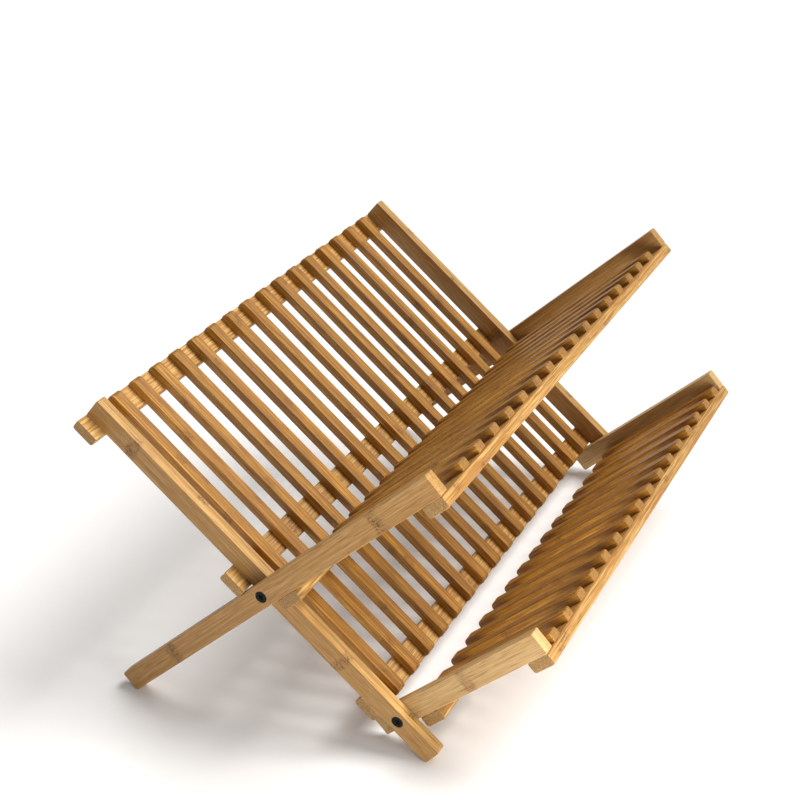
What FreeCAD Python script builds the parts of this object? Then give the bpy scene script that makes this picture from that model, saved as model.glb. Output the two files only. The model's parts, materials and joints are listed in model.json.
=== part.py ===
import FreeCAD, Part
import math
import os

os.makedirs("parts", exist_ok=True)

# Folding two-tier dish rack made of bamboo strips. X runs along the rack, -Y is the front, +Z is up.
# Three frames: the back frame leans back and has its feet at the front, the front frame crosses it
# and has its feet at the back, and the low shelf hangs between the feet of the back frame.
# Sizes are in millimetres and degrees.

# Overall sizes
rack_length = 420.0
opening_angle = 83.0
back_arm_up = 163.5
back_arm_down = 151.5
front_arm_up = 168.0
front_arm_down = 157.5
shelf_drop = 119.0
shelf_tail = 24.0

# Bamboo strips
leg_width = 15.5
leg_thickness = 8.4
rail_width = 17.5
rail_thickness = 8.0
slat_thickness = 9.0
slat_height = 6.5
slat_count = 16
slat_side_gap = 4.7
shelf_slat_tail = 4.0

# Rounded corners and eased edges
foot_radius = 2.0
rail_radius = 2.0
slat_end_radius = 3.5
slat_tip_radius = 1.8
small_radius = 1.2
eased_edge = 0.5

# Hinge screws
screw_head_diameter = 8.0
screw_head_height = 2.6
screw_shank_diameter = 4.4
screw_thread_diameter = 3.8
screw_end_cover = 1.2
driver_slot_span = 4.6
driver_slot_width = 1.0
driver_slot_depth = 2.2

# Clearances
side_clearance = 0.8
stop_clearance = 0.3
fold_gap = 2.6
running_clearance = 0.06
head_clearance = 0.35
thread_clearance = 0.02


def vec(x, y, z):
    return FreeCAD.Vector(x, y, z)


# Where the strips lie across a frame: the leg is centred on the frame's line, rails are under it.
leg_top = leg_width / 2
leg_bottom = -leg_width / 2
rail_bottom = leg_bottom - rail_thickness
slat_top = leg_bottom + slat_height

# The outermost slats stay this far from the ends of the rack, clear of the three legs side by side.
slat_end_margin = 3 * leg_thickness + 2 * side_clearance + slat_side_gap
slat_pitch = (rack_length - 2 * slat_end_margin - slat_thickness) / (slat_count - 1)

# The lower side of a stop rail stands this far up from its hinge, so that the crossing leg
# meets the rail's rounded outer corner when the rack is open.
cross = math.radians(opening_angle)
corner_reach = leg_top + stop_clearance + rail_radius - (rail_bottom + rail_radius) * math.cos(cross)
stop_offset = corner_reach / math.sin(cross) - rail_radius

# The shelf ends just short of the front frame's lower rail when everything is folded flat.
shelf_arm_up = shelf_drop + stop_offset - fold_gap

# Tilt of the back frame that puts the rounded feet of both frames on the floor.
down_back = back_arm_down - foot_radius
down_front = front_arm_down - foot_radius
half_foot = leg_top - foot_radius
tilt_rise = down_front * math.sin(cross) + half_foot * (math.cos(cross) - 1)
tilt_run = down_back + down_front * math.cos(cross) - half_foot * math.sin(cross)
back_tilt = math.atan2(tilt_rise, tilt_run)
front_tilt = cross - back_tilt
hinge_height = down_back * math.sin(back_tilt) + half_foot * math.cos(back_tilt) + foot_radius

# The origin is under the middle of the standing rack, so the upper hinge lies off centre in Y.
corner_depth = -(rail_bottom + rail_radius)
back_reach = (back_arm_up - rail_radius) * math.cos(back_tilt) + corner_depth * math.sin(back_tilt)
front_reach = (
    shelf_drop * math.cos(back_tilt)
    + (shelf_arm_up - rail_radius) * math.cos(front_tilt)
    + corner_depth * math.sin(front_tilt)
)
hinge_y = (front_reach - back_reach) / 2


class Frame:
    """A flat frame: s runs up along its legs, n is square to them on the side that holds dishes."""

    def __init__(self, y, z, run_y, run_z, square_y, square_z):
        self.y = y
        self.z = z
        self.run = (run_y, run_z)
        self.square = (square_y, square_z)

    def point(self, x, s, n):
        y = self.y + s * self.run[0] + n * self.square[0]
        z = self.z + s * self.run[1] + n * self.square[1]
        return vec(x, y, z)


back = Frame(hinge_y, hinge_height, math.cos(back_tilt), math.sin(back_tilt),
             -math.sin(back_tilt), math.cos(back_tilt))
low = back.point(0, -shelf_drop, 0)
lean = (-math.cos(front_tilt), math.sin(front_tilt), math.sin(front_tilt), math.cos(front_tilt))
front = Frame(hinge_y, hinge_height, *lean)
shelf = Frame(low.y, low.z, *lean)

# Outer faces of the legs, from the end of the rack inwards
half = rack_length / 2
front_face = half
back_face = front_face - leg_thickness - side_clearance
shelf_face = back_face - leg_thickness - side_clearance


def strip(frame, x_from, x_to, s_from, s_to, n_from, n_to, radii):
    """A strip with a rounded outline in the plane of s and n, its two faces eased all round.
    The radii belong to the corners (s_from, n_from), (s_to, n_from), (s_to, n_to), (s_from, n_to)."""
    corners = [(s_from, n_from), (s_to, n_from), (s_to, n_to), (s_from, n_to)]
    joints = []
    for index, (s, n) in enumerate(corners):
        before = corners[index - 1]
        after = corners[(index + 1) % 4]
        radius = radii[index]
        near = toward((s, n), before, radius)
        far = toward((s, n), after, radius)
        centre = (near[0] + far[0] - s, near[1] + far[1] - n)
        middle = toward(centre, (s, n), radius)
        joints.append((near, middle, far))
    edges = []
    for index, (near, middle, far) in enumerate(joints):
        ends = [frame.point(x_from, *near), frame.point(x_from, *middle), frame.point(x_from, *far)]
        edges.append(Part.Arc(*ends).toShape())
        following = joints[(index + 1) % 4][0]
        edges.append(Part.LineSegment(ends[2], frame.point(x_from, *following)).toShape())
    outline = Part.Face(Part.Wire(edges))
    solid = outline.extrude(vec(x_to - x_from, 0, 0))
    flat_edges = [edge for edge in solid.Edges if edge.BoundBox.XLength < 0.001]
    return solid.makeFillet(eased_edge, flat_edges)


def toward(start, goal, distance):
    length = math.hypot(goal[0] - start[0], goal[1] - start[1])
    share = distance / length
    return (start[0] + (goal[0] - start[0]) * share, start[1] + (goal[1] - start[1]) * share)


def leg(frame, side, outer_face, arm_up, arm_down, foot_corner):
    x_outer = side * outer_face
    x_inner = side * (outer_face - leg_thickness)
    radii = (foot_corner, small_radius, small_radius, foot_corner)
    return strip(frame, min(x_outer, x_inner), max(x_outer, x_inner),
                 -arm_down, arm_up, leg_bottom, leg_top, radii)


def rail(frame, reach, s_from):
    """A cross rail under the legs, from s_from upwards, that reaches as far as the given leg face."""
    radii = (rail_radius, rail_radius, small_radius, small_radius)
    return strip(frame, -reach, reach, s_from, s_from + rail_width, rail_bottom, leg_bottom, radii)


def slat(frame, index, s_from, s_to, tip_radius):
    """One slat on the rails. The upper corner of its top end has the given radius."""
    middle = (index - (slat_count - 1) / 2) * slat_pitch
    radii = (small_radius, small_radius, tip_radius, slat_end_radius)
    return strip(frame, middle - slat_thickness / 2, middle + slat_thickness / 2,
                 s_from, s_to, leg_bottom, slat_top, radii)


def hinge_hole(frame, side, outer_face):
    """The turning hole and countersink for a hinge screw, cut in from the outer face of a leg."""
    radius = screw_shank_diameter / 2 + running_clearance
    head_radius = screw_head_diameter / 2 + head_clearance
    depth = screw_head_height * (head_radius - radius) / (screw_head_diameter / 2 - screw_shank_diameter / 2)
    centre = frame.point(side * outer_face, 0, 0)
    inward = vec(-side, 0, 0)
    hole = Part.makeCylinder(radius, leg_thickness + 2, centre - inward, inward)
    sink = Part.makeCone(head_radius, radius, depth, centre, inward)
    return hole.fuse(sink)


def pilot_hole(frame, side, outer_face):
    """The hole that the screw's thread bites into, cut in from the outer face of the inner leg."""
    centre = frame.point(side * outer_face, 0, 0)
    inward = vec(-side, 0, 0)
    depth = leg_thickness - screw_end_cover + thread_clearance
    return Part.makeCylinder(screw_thread_diameter / 2 + thread_clearance, depth, centre, inward)


def screw(frame, side, outer_face):
    """A countersunk cross-head screw that passes the outer leg and ends inside the inner leg."""
    centre = frame.point(side * outer_face, 0, 0)
    inward = vec(-side, 0, 0)
    head_radius = screw_head_diameter / 2
    shank_radius = screw_shank_diameter / 2
    shank_length = leg_thickness + side_clearance - screw_head_height
    thread_length = leg_thickness - screw_end_cover
    head = Part.makeCone(head_radius, shank_radius, screw_head_height, centre, inward)
    shank_start = centre + inward * screw_head_height
    shank = Part.makeCylinder(shank_radius, shank_length, shank_start, inward)
    thread_start = shank_start + inward * shank_length
    thread = Part.makeCylinder(screw_thread_diameter / 2, thread_length, thread_start, inward)
    body = head.fuse([shank, thread]).removeSplitter()
    slots = []
    for turn in (45, 135):
        slot = Part.makeBox(driver_slot_depth + 1, driver_slot_span, driver_slot_width,
                            vec(-1, -driver_slot_span / 2, -driver_slot_width / 2))
        slot.rotate(vec(0, 0, 0), vec(1, 0, 0), turn)
        slots.append(slot)
    cross_slot = slots[0].fuse(slots[1])
    point = Part.makeCone(driver_slot_span / 2 + 0.6, 0.7, driver_slot_depth + 1, vec(-1, 0, 0), vec(1, 0, 0))
    recess = cross_slot.common(point)
    if side > 0:
        recess.rotate(vec(0, 0, 0), vec(0, 0, 1), 180)
    recess.translate(centre)
    return body.cut(recess)


nodes = {}
sides = (("left", -1), ("right", 1))

# Legs. The upper hinge joins the front legs, outside, to the back legs. The lower hinge joins the
# back legs to the shelf legs, inside.
for name, side in sides:
    front_leg = leg(front, side, front_face, front_arm_up, front_arm_down, foot_radius)
    back_leg = leg(back, side, back_face, back_arm_up, back_arm_down, foot_radius)
    shelf_leg = leg(shelf, side, shelf_face, shelf_arm_up, shelf_tail, small_radius)
    nodes["front_leg_" + name] = front_leg.cut(hinge_hole(front, side, front_face))
    back_leg = back_leg.cut(pilot_hole(back, side, back_face))
    nodes["back_leg_" + name] = back_leg.cut(hinge_hole(shelf, side, back_face))
    nodes["shelf_leg_" + name] = shelf_leg.cut(pilot_hole(shelf, side, shelf_face))
    nodes["upper_screw_" + name] = screw(front, side, front_face)
    nodes["lower_screw_" + name] = screw(shelf, side, back_face)

# Rails. Those of the front frame and the upper two of the back frame run the full length, so the
# folded frames rest on them. The lower rail of the back frame stops the tail of the shelf legs.
back_bottom = stop_offset - shelf_drop
nodes["back_rail_top"] = rail(back, front_face, back_arm_up - rail_width)
nodes["back_rail_middle"] = rail(back, front_face, stop_offset)
nodes["back_rail_bottom"] = rail(back, back_face, back_bottom)
nodes["front_rail_top"] = rail(front, front_face, front_arm_up - rail_width)
nodes["front_rail_bottom"] = rail(front, front_face, stop_offset)
nodes["shelf_rail_front"] = rail(shelf, shelf_face, shelf_arm_up - rail_width)
nodes["shelf_rail_back"] = rail(shelf, shelf_face, stop_offset)

# Slats lie on the rails between the legs. Those of the shelf are kept two to a node, and their
# lower ends stand a little way past the back rail of the shelf.
shelf_bottom = stop_offset - shelf_slat_tail
for index in range(slat_count):
    back_slat = slat(back, index, back_bottom, back_arm_up, slat_end_radius)
    front_slat = slat(front, index, stop_offset, front_arm_up, slat_tip_radius)
    nodes["back_slat_%02d" % (index + 1)] = back_slat
    nodes["front_slat_%02d" % (index + 1)] = front_slat
for pair in range(slat_count // 2):
    slats = []
    for index in (2 * pair, 2 * pair + 1):
        slats.append(slat(shelf, index, shelf_bottom, shelf_arm_up, slat_tip_radius))
    nodes["shelf_slats_%d" % (pair + 1)] = Part.makeCompound(slats)

for name, shape in nodes.items():
    if not shape.isValid():
        raise ValueError("bad shape: " + name)
    shape.exportStep("parts/" + name + ".step")

print("nodes:", len(nodes))
print("back tilt %.3f, front tilt %.3f" % (math.degrees(back_tilt), math.degrees(front_tilt)))
print("upper hinge at y %.3f z %.3f, lower hinge at y %.3f z %.3f" % (hinge_y, hinge_height, low.y, low.z))
print("stop offset %.3f, shelf arm %.3f" % (stop_offset, shelf_arm_up))
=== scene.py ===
import json
import math

import bmesh
import bpy
from mathutils import Matrix, Vector


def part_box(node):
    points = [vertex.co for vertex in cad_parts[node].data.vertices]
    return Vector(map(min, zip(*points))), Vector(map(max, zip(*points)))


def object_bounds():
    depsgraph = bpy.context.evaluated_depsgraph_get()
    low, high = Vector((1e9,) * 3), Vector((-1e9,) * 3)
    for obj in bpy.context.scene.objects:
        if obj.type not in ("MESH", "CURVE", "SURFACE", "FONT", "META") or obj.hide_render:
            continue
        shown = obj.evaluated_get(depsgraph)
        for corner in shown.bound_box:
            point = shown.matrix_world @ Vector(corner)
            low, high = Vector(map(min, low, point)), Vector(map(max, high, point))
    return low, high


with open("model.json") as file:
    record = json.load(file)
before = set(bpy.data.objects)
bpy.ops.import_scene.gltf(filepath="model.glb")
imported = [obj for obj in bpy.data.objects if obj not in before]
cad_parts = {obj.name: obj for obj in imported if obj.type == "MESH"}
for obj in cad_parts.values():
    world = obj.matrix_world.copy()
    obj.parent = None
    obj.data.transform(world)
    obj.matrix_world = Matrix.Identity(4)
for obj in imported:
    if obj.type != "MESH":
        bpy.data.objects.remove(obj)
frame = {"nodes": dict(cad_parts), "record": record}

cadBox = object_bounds()
nodes = frame["nodes"]
print("frame loaded:", len(nodes), "nodes")

mm = 0.001
perMetre = 1000.0  # patterns are worked out in millimetres


def linear(hexColour):
    channels = [int(hexColour[i:i + 2], 16) / 255 for i in (1, 3, 5)]
    curve = [c / 12.92 if c <= 0.04045 else ((c + 0.055) / 1.055) ** 2.4 for c in channels]
    return (*curve, 1.0)


def addNode(tree, kind, inputs=None, **settings):
    # inputs go by name or number: a socket is linked, anything else is set as the input's value
    node = tree.nodes.new("ShaderNode" + kind)
    for key, value in settings.items():
        setattr(node, key, value)
    for key, value in (inputs or {}).items():
        if isinstance(value, bpy.types.NodeSocket):
            tree.links.new(value, node.inputs[key])
        else:
            node.inputs[key].default_value = value
    return node.outputs


def newMaterial(name):
    material = bpy.data.materials.new(name)
    material.use_nodes = True
    tree = material.node_tree
    shader = tree.nodes["Principled BSDF"]
    return material, tree, shader


def putOn(node, material):
    node.data.materials.clear()
    node.data.materials.append(material)


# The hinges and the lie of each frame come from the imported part.
joints = {joint["name"]: joint for joint in frame["record"]["behaviour"]["joints"]}
upperHinge = Vector(joints["rack_fold"]["pos_m"])
lowerHinge = Vector(joints["shelf_fold"]["pos_m"])


def boxCentre(node):
    low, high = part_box(node)
    return (Vector(low) + Vector(high)) / 2


def lieOf(lowRail, highRail):
    # angle of a frame's strips above +Y, seen along the hinges
    step = boxCentre(highRail) - boxCentre(lowRail)
    return math.atan2(step.z, step.y)


frameLies = {
    "back": {"angle": lieOf("back_rail_bottom", "back_rail_top"), "hinge": upperHinge},
    "front": {"angle": lieOf("front_rail_bottom", "front_rail_top"), "hinge": upperHinge},
    "shelf": {"angle": lieOf("shelf_rail_back", "shelf_rail_front"), "hinge": lowerHinge},
}
print("lies:", {key: round(math.degrees(lie["angle"]), 2) for key, lie in frameLies.items()})

# Moso bamboo, split, planed, glued in plies and oiled: warm honey, satin, with fine long fibres,
# short dark strokes, a tone of its own in each ply, and a band of curly cracks where the cane had
# a joint. Lengths are in millimetres, scales are per millimetre, and a pair is the two values of a
# noise at which its mark begins and is full.
bambooLook = {
    "legs": {"pale": "#E0B672", "honey": "#B98744", "endShare": 0.12, "ringSlip": 0.0, "crack": 0.85},
    # the slats are a deeper orange than the legs; their darker tone is partly painted shade, standing in
    # for the shade that falls on them inside the rack
    "slats": {"pale": "#D2973A", "honey": "#92601E", "endShare": 0.5, "ringSlip": 1.0, "crack": 0.5},
    "rails": {"pale": "#EBC178", "honey": "#A8702C", "endShare": 0.55, "ringSlip": 1.0, "crack": 0.6},
    # the shelf's legs are paler and less saturated than the rack's; this is partly painted light, standing
    # in for the brighter light on the low front of the rack
    "shelf legs": {"pale": "#EDCB90", "honey": "#D8AE6C", "endShare": 0.12, "ringSlip": 0.0, "crack": 0.4},
    # plies: what the palest and darkest of them make of the colour, and how far the grain of one
    # is slid against the next
    "palest": 0.945,
    "darkest": 0.666,
    "plyThickness": 4.2,
    "plySlide": 41.0,
    "stripToken": 3.17,  # sets the chance values of neighbouring strips apart
    "edgeSlack": 0.05,  # puts a leg's own face just inside its first ply
    "glueLine": 0.25,
    "glueDepth": 0.35,
    # long fibres: real bundles are 0.5 mm wide, drawn coarser so that they show
    "noiseRoughness": 0.6,
    "fibre": {"width": 0.8, "stretch": 30.0, "detail": 3.0, "pair": (0.34, 0.66)},
    "stroke": {"width": 0.6, "stretch": 26.0, "detail": 1.0, "pair": (0.55, 0.72), "depth": 0.62},
    "streak": {"width": 1.5, "stretch": 110.0, "detail": 2.0, "pair": (0.45, 0.62), "depth": 0.8},
    "dark": "#75461A",
    # the cut ends of a strip, dotted with pores
    "endGrain": "#8C6C42",
    "endPore": "#5E4824",
    "porePair": (0.45, 0.65),
    "endPair": (0.75, 0.95),  # how squarely a face looks along the grain
    # bands of cracks at the cane's joints
    "bandHalf": 5.5,
    "bandDepth": 0.22,
    "fullShare": 0.4,  # the share of a band's or a crack's half width that is fully dark
    "plySlip": 0.29,  # how far a ply's bands slip against the next one's, as a share of their spacing
    "bandWobble": 11.0,
    "bandWobbleScale": 0.16,
    "crackColour": "#4A290C",
    "crackCell": 2.1,
    "crackWidth": 0.13,  # as a share of a cell
    "crackBend": 5.0,
    "crackBendScale": 0.5,
    "patchScale": 0.42,
    "patchPair": (0.4, 0.56),
    # surface: strokes and cracks lie lower than the fibres, under the oil's thin film
    "roughness": 0.46,
    "roughSpread": (-0.06, 0.1),
    "relief": 0.25,
    "reliefStrength": 0.35,
    "strokeLift": -0.7,
    "crackLift": -1.2,
    "ior": 1.5,
    "shine": 0.35,
    "coat": 0.06,
    "coatRoughness": 0.35,
}


def stripSpace(tree, lie, alongRack):
    # places and directions along the strips, turned and moved from the part's axes to the frame's own
    turn = -lie["angle"]
    hinge = Matrix.Rotation(turn, 3, "X") @ lie["hinge"] * perMetre
    coords = addNode(tree, "TexCoord")
    place = addNode(tree, "Mapping", {"Vector": coords["Object"], "Location": -hinge,
                                      "Rotation": (turn, 0, 0), "Scale": (perMetre,) * 3})[0]
    facing = addNode(tree, "Mapping", {"Vector": coords["Normal"], "Rotation": (turn, 0, 0)},
                     vector_type="NORMAL")[0]
    split = addNode(tree, "SeparateXYZ", {0: place})
    normal = addNode(tree, "SeparateXYZ", {0: facing})
    along, across = (0, 1) if alongRack else (1, 0)
    return {"place": place, "across": split[across], "grain": split[along], "depth": split[2],
            "endFacing": normal[along]}


def plyPattern(tree, space, cut):
    # which strip this is, which ply of it, a chance value of its own for each ply, and the glue lines
    look = bambooLook
    moved = addNode(tree, "Math", {0: space["across"], 1: cut["stripShift"]}, operation="ADD")[0]
    strips = addNode(tree, "Math", {0: moved, 1: cut["stripStep"]}, operation="DIVIDE")[0]
    strip = addNode(tree, "Math", {0: strips}, operation="FLOOR")[0]
    layer = space["depth"]
    if not cut["alongRack"]:
        layer = addNode(tree, "Math", {0: space["across"]}, operation="ABSOLUTE")[0]
    below = addNode(tree, "Math", {0: cut["plyEdge"] + look["edgeSlack"], 1: layer},
                    operation="SUBTRACT")[0]
    plies = addNode(tree, "Math", {0: below, 1: look["plyThickness"]}, operation="DIVIDE")[0]
    ply = addNode(tree, "Math", {0: plies}, operation="FLOOR")[0]
    token = addNode(tree, "Math", {0: strip, 1: look["stripToken"], 2: ply},
                    operation="MULTIPLY_ADD")[0]
    chance = addNode(tree, "TexWhiteNoise", {"W": token}, noise_dimensions="1D")[0]
    seam = addNode(tree, "Math", {0: plies, 1: 0.5}, operation="PINGPONG")[0]
    glue = addNode(tree, "Math", {0: seam, 1: look["glueLine"] / 2 / look["plyThickness"]},
                   operation="LESS_THAN")[0]
    return {"ply": ply, "token": token, "chance": chance, "glue": glue}


def ringPattern(tree, space, plies, finish, cut, cane):
    # bands of curly cracks across each ply where the cane had its joints
    look = bambooLook
    ringAt = cane["ringAt"] + cut["ringShift"]
    wobble = addNode(tree, "TexNoise", {"Vector": space["place"], "Scale": look["bandWobbleScale"],
                                        "Detail": 2.0})[0]
    wave = addNode(tree, "Math", {0: wobble, 1: look["bandWobble"], 2: space["grain"]},
                   operation="MULTIPLY_ADD")[0]
    fromRing = addNode(tree, "Math", {0: wave, 1: ringAt + look["bandWobble"] / 2},
                       operation="SUBTRACT")[0]
    turns = addNode(tree, "Math", {0: fromRing, 1: cane["ringSpacing"]}, operation="DIVIDE")[0]
    slip = addNode(tree, "Math", {0: plies["chance"], 1: look[finish]["ringSlip"], 2: turns},
                   operation="MULTIPLY_ADD")[0]
    slipPly = addNode(tree, "Math", {0: plies["ply"], 1: look["plySlip"], 2: slip},
                      operation="MULTIPLY_ADD")[0]
    centred = addNode(tree, "Math", {0: slipPly, 1: 0.5}, operation="ADD")[0]
    cell = addNode(tree, "Math", {0: centred}, operation="FRACT")[0]
    offset = addNode(tree, "Math", {0: cell, 1: 0.5}, operation="SUBTRACT")[0]
    away = addNode(tree, "Math", {0: offset}, operation="ABSOLUTE")[0]
    half = look["bandHalf"] / cane["ringSpacing"]
    band = addNode(tree, "MapRange", {"Value": away, "From Min": half * look["fullShare"],
                                      "From Max": half, "To Min": 1.0, "To Max": 0.0})[0]
    bend = addNode(tree, "TexNoise", {"Vector": space["place"], "Scale": look["crackBendScale"],
                                      "Detail": 2.0})[1]
    bent = addNode(tree, "VectorMath", {0: bend, 1: (look["crackBend"],) * 3, 2: space["place"]},
                   operation="MULTIPLY_ADD")[0]
    edges = addNode(tree, "TexVoronoi", {"Vector": bent, "Scale": 1 / look["crackCell"]},
                    feature="DISTANCE_TO_EDGE")[0]
    core = look["crackWidth"] * look["fullShare"]
    lines = addNode(tree, "MapRange", {"Value": edges, "From Min": core, "From Max": look["crackWidth"],
                                       "To Min": 1.0, "To Max": 0.0})[0]
    patchy = addNode(tree, "TexNoise", {"Vector": space["place"], "Scale": look["patchScale"],
                                        "Detail": 1.0})[0]
    begin, full = look["patchPair"]
    patches = addNode(tree, "MapRange", {"Value": patchy, "From Min": begin, "From Max": full})[0]
    broken = addNode(tree, "Math", {0: lines, 1: patches}, operation="MULTIPLY")[0]
    cracks = addNode(tree, "Math", {0: broken, 1: band}, operation="MULTIPLY")[0]
    return band, cracks


def bamboo(name, finish, lie, cut, cane):
    look = bambooLook
    material, tree, shader = newMaterial(name)
    space = stripSpace(tree, lie, cut["alongRack"])
    plies = plyPattern(tree, space, cut)

    # solid noises drawn out along the grain, so that they show as dots on end faces
    shifted = addNode(tree, "Math", {0: plies["token"], 1: look["plySlide"], 2: space["grain"]},
                      operation="MULTIPLY_ADD")[0]
    noises, marks = {}, {}
    for key in ("fibre", "stroke", "streak"):
        pattern = look[key]
        drawn = addNode(tree, "Math", {0: shifted, 1: pattern["stretch"]}, operation="DIVIDE")[0]
        point = addNode(tree, "CombineXYZ", {0: space["across"], 1: space["depth"], 2: drawn})[0]
        noises[key] = addNode(tree, "TexNoise", {"Vector": point, "Scale": 1 / pattern["width"],
                                                 "Detail": pattern["detail"],
                                                 "Roughness": look["noiseRoughness"]})[0]
        begin, full = pattern["pair"]
        marks[key] = addNode(tree, "MapRange", {"Value": noises[key], "From Min": begin, "From Max": full,
                                                "To Max": pattern.get("depth", 1.0)})[0]
    band, cracks = ringPattern(tree, space, plies, finish, cut, cane)

    # colour, from the pale ground to the dark marks; a colour mix has its colours at 6 and 7
    pale, honey, dark = linear(look[finish]["pale"]), linear(look[finish]["honey"]), linear(look["dark"])
    colour = addNode(tree, "Mix", {0: marks["fibre"], 6: honey, 7: pale}, data_type="RGBA")[2]
    glueMark = addNode(tree, "Math", {0: plies["glue"], 1: look["glueDepth"]}, operation="MULTIPLY")[0]
    bandMark = addNode(tree, "Math", {0: band, 1: look["bandDepth"]}, operation="MULTIPLY")[0]
    crackMark = addNode(tree, "Math", {0: cracks, 1: look[finish]["crack"]}, operation="MULTIPLY")[0]
    layers = ((marks["streak"], honey), (marks["stroke"], dark), (glueMark, dark), (bandMark, dark),
              (crackMark, linear(look["crackColour"])))
    for mark, markColour in layers:
        colour = addNode(tree, "Mix", {0: mark, 6: colour, 7: markColour}, data_type="RGBA")[2]
    shade = addNode(tree, "MapRange", {"Value": plies["chance"], "To Min": look["darkest"],
                                       "To Max": look["palest"]})[0]
    colour = addNode(tree, "VectorMath", {0: colour, "Scale": shade}, operation="SCALE")[0]

    # cut ends show the fibres as pores
    begin, full = look["porePair"]
    pores = addNode(tree, "MapRange", {"Value": noises["stroke"], "From Min": begin, "From Max": full})[0]
    cutEnd = addNode(tree, "Mix", {0: pores, 6: linear(look["endGrain"]), 7: linear(look["endPore"])},
                     data_type="RGBA")[2]
    endOn = addNode(tree, "Math", {0: space["endFacing"]}, operation="ABSOLUTE")[0]
    begin, full = look["endPair"]
    endFace = addNode(tree, "MapRange", {"Value": endOn, "From Min": begin, "From Max": full,
                                         "To Max": look[finish]["endShare"]})[0]
    colour = addNode(tree, "Mix", {0: endFace, 6: colour, 7: cutEnd}, data_type="RGBA")[2]
    tree.links.new(colour, shader.inputs["Base Color"])

    smoother, rougher = look["roughSpread"]
    rough = addNode(tree, "MapRange", {"Value": noises["fibre"], "To Min": look["roughness"] + smoother,
                                       "To Max": look["roughness"] + rougher})[0]
    tree.links.new(rough, shader.inputs["Roughness"])
    dips = addNode(tree, "Math", {0: marks["stroke"], 1: look["strokeLift"], 2: noises["fibre"]},
                   operation="MULTIPLY_ADD")[0]
    relief = addNode(tree, "Math", {0: cracks, 1: look["crackLift"], 2: dips},
                     operation="MULTIPLY_ADD")[0]
    bump = addNode(tree, "Bump", {"Height": relief, "Strength": look["reliefStrength"],
                                  "Distance": look["relief"] * mm})[0]
    tree.links.new(bump, shader.inputs["Normal"])
    shader.inputs["IOR"].default_value = look["ior"]
    shader.inputs["Specular IOR Level"].default_value = look["shine"]
    shader.inputs["Coat Weight"].default_value = look["coat"]
    shader.inputs["Coat Roughness"].default_value = look["coatRoughness"]
    return material


# Where the cane's joints fall on the legs of each frame, measured up from its hinge, and how far apart
caneJoints = {
    "back": {"ringAt": -67.0, "ringSpacing": 193.0, "legs": "legs"},
    "front": {"ringAt": -100.0, "ringSpacing": 217.0, "legs": "legs"},
    "shelf": {"ringAt": 60.0, "ringSpacing": 205.0, "legs": "shelf legs"},
}
slatPitch = (boxCentre("back_slat_02").x - boxCentre("back_slat_01").x) * perMetre
farOff = 1000.0  # a length beyond the rack, so that a pattern's step has no edge on it

# How each kind of piece is cut from the glued plies. A rail's grain runs along the rack, a leg's and a
# slat's up the frame. stripStep and stripShift tell one strip from the next, and plies are counted in
# from plyEdge: across the rack for legs and slats, down through the strip for rails.
cuts = {
    "leg": {"alongRack": False, "stripStep": farOff, "stripShift": farOff, "ringShift": 0.0},
    "slat": {"alongRack": False, "stripStep": slatPitch, "stripShift": 0.0, "plyEdge": farOff,
             "ringShift": 24.0, "finish": "slats"},
    "rail": {"alongRack": True, "stripStep": 100.0, "stripShift": 70.0, "plyEdge": 0.0,
             "ringShift": 15.0, "finish": "rails"},
}
for part, cane in caneJoints.items():
    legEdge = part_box(part + "_leg_right")[1][0] * perMetre
    cuts["leg"].update(plyEdge=legEdge, finish=cane["legs"])
    for kind, cut in cuts.items():
        title = part + " " + kind + "s, oiled laminated bamboo"
        material = bamboo(title, cut["finish"], frameLies[part], cut, cane)
        for name, node in nodes.items():
            if name.startswith(part + "_" + kind):
                putOn(node, material)
print("bamboo strips finished")

# Hinge screws: steel wood screws with a black oxide finish, dark and softly shiny.
screwLook = {
    "colour": "#060709",
    "worn": "#121318",
    "wornPair": (0.5, 0.8),
    "grain": 0.9,
    "roughness": 0.5,
    "roughSpread": (-0.06, 0.12),
    "relief": 0.03,
    "reliefStrength": 0.2,
    "shine": 0.15,  # the oxide film hardly shines
}


def blackSteel(name):
    look = screwLook
    material, tree, shader = newMaterial(name)
    coords = addNode(tree, "TexCoord")
    grains = addNode(tree, "TexNoise", {"Vector": coords["Object"], "Scale": perMetre / look["grain"],
                                        "Detail": 3.0})[0]
    begin, full = look["wornPair"]
    wear = addNode(tree, "MapRange", {"Value": grains, "From Min": begin, "From Max": full})[0]
    blend = addNode(tree, "Mix", {0: wear, 6: linear(look["colour"]), 7: linear(look["worn"])},
                    data_type="RGBA")[2]
    tree.links.new(blend, shader.inputs["Base Color"])
    smoother, rougher = look["roughSpread"]
    rough = addNode(tree, "MapRange", {"Value": grains, "To Min": look["roughness"] + smoother,
                                       "To Max": look["roughness"] + rougher})[0]
    tree.links.new(rough, shader.inputs["Roughness"])
    bump = addNode(tree, "Bump", {"Height": grains, "Strength": look["reliefStrength"],
                                  "Distance": look["relief"] * mm})[0]
    tree.links.new(bump, shader.inputs["Normal"])
    shader.inputs["Specular IOR Level"].default_value = look["shine"]
    return material


screwMaterial = blackSteel("black oxide steel")
for name, node in nodes.items():
    if "screw" in name:
        putOn(node, screwMaterial)
print("screws finished")

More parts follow.
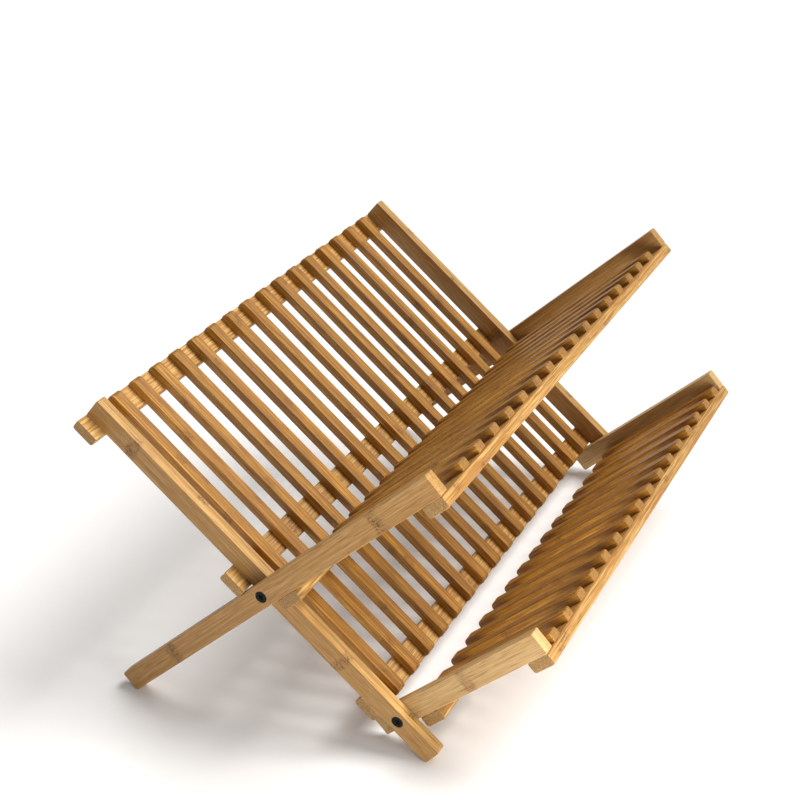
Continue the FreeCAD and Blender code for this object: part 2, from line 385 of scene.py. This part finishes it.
# Floor, light and camera
stageLook = {
    "floor": "#F0F0F0",
    "floorSize": 40.0,
    "floorRoughness": (0.85, 0.95),
    "floorCloud": 3.0,
    "sunFrom": (0.35, -0.55, 1.0),
    "sunStrength": 3.8,
    "sunSpread": 30.0,
    "sunColour": (1.0, 0.98, 0.95),
    "fillFrom": (-0.42, -0.52, 0.09),
    "fillSize": 0.4,
    "fillPower": 4.3,
    "worldLight": 0.26,
}
bm = bmesh.new()
bmesh.ops.create_grid(bm, x_segments=1, y_segments=1, size=stageLook["floorSize"])
floorMesh = bpy.data.meshes.new("floor")
bm.to_mesh(floorMesh)
bm.free()
floor = bpy.data.objects.new("floor", floorMesh)
bpy.context.scene.collection.objects.link(floor)
floorMaterial, tree, shader = newMaterial("pale matt paper floor")
coords = addNode(tree, "TexCoord")
cloud = addNode(tree, "TexNoise", {"Vector": coords["Object"], "Scale": stageLook["floorCloud"],
                                   "Detail": 2.0})[0]
smooth, matt = stageLook["floorRoughness"]
rough = addNode(tree, "MapRange", {"Value": cloud, "To Min": smooth, "To Max": matt})[0]
tree.links.new(rough, shader.inputs["Roughness"])
shader.inputs["Base Color"].default_value = linear(stageLook["floor"])
floorMesh.materials.append(floorMaterial)

middle = (Vector(cadBox[0]) + Vector(cadBox[1])) / 2


def addLight(name, kind, place, strength, **settings):
    data = bpy.data.lights.new(name, kind)
    data.energy = strength
    for key, value in settings.items():
        setattr(data, key, value)
    light = bpy.data.objects.new(name, data)
    light.location = place
    light.rotation_euler = (middle - place).to_track_quat("-Z", "Y").to_euler()
    light.visible_camera = False
    bpy.context.scene.collection.objects.link(light)


addLight("sun", "SUN", middle + Vector(stageLook["sunFrom"]), stageLook["sunStrength"],
         angle=math.radians(stageLook["sunSpread"]), color=stageLook["sunColour"])
addLight("fill", "AREA", Vector(stageLook["fillFrom"]), stageLook["fillPower"], size=stageLook["fillSize"])

world = bpy.data.worlds.new("studio")
world.use_nodes = True
background = world.node_tree.nodes["Background"]
background.inputs["Color"].default_value = (1.0, 1.0, 1.0, 1.0)
background.inputs["Strength"].default_value = stageLook["worldLight"]
bpy.context.scene.world = world
bpy.context.scene.view_settings.view_transform = "Standard"

# The camera's place in metres, where it looks, and what it has on its right: it leans to one side.
cameraLook = {
    "place": (-0.86321, -0.42831, 0.64316),
    "forward": (0.78663, 0.42113, -0.45151),
    "right": (0.44530, -0.89353, -0.05760),
    "lens": 66.83,
    "sensor": 36.0,
}
cameraData = bpy.data.cameras.new("camera")
cameraData.sensor_width = cameraLook["sensor"]
cameraData.lens = cameraLook["lens"]
camera = bpy.data.objects.new("camera", cameraData)
forward = Vector(cameraLook["forward"]).normalized()
right = Vector(cameraLook["right"])
right = (right - forward * right.dot(forward)).normalized()
turned = Matrix((right, right.cross(forward), -forward)).transposed()
camera.matrix_world = Matrix.Translation(cameraLook["place"]) @ turned.to_4x4()
bpy.context.scene.collection.objects.link(camera)
bpy.context.scene.camera = camera
print("stage ready")
